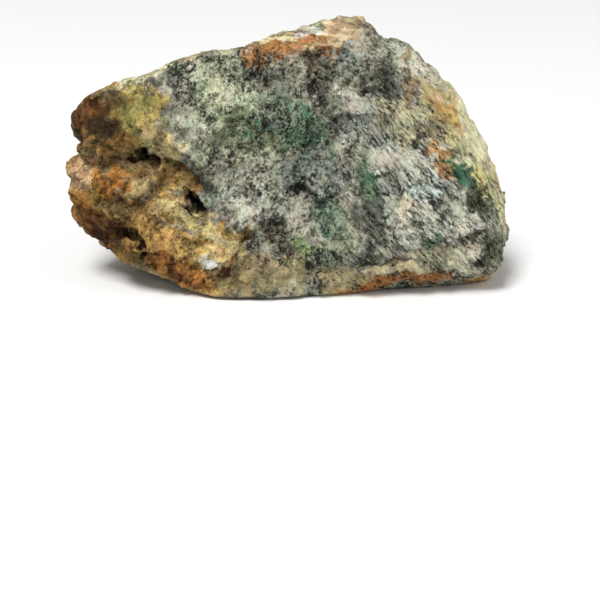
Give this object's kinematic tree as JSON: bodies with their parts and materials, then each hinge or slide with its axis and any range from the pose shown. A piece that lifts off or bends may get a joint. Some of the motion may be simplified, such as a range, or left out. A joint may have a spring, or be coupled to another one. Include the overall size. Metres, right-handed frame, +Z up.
{
  "type": "nickel ore specimen",
  "caption": "Broken lump of nickel ore: broad fresh grey-green face, weathered tan and rusty edges, pitted left end, flat where it rests.",
  "frame": {"origin": "on the resting face, under the middle of the stone's bounding box", "axes": "+X along the length, from the pitted end to the pale end; -Y out of the broad broken face; +Z up"},
  "size_m": [0.101, 0.0488, 0.0605],
  "materials": {
    "ore": "dull, granular, speckled grey-green with rusty edges"
  },
  "bodies": {
    "root": {"ore_stone": "ore"}
  },
  "joints": []
}
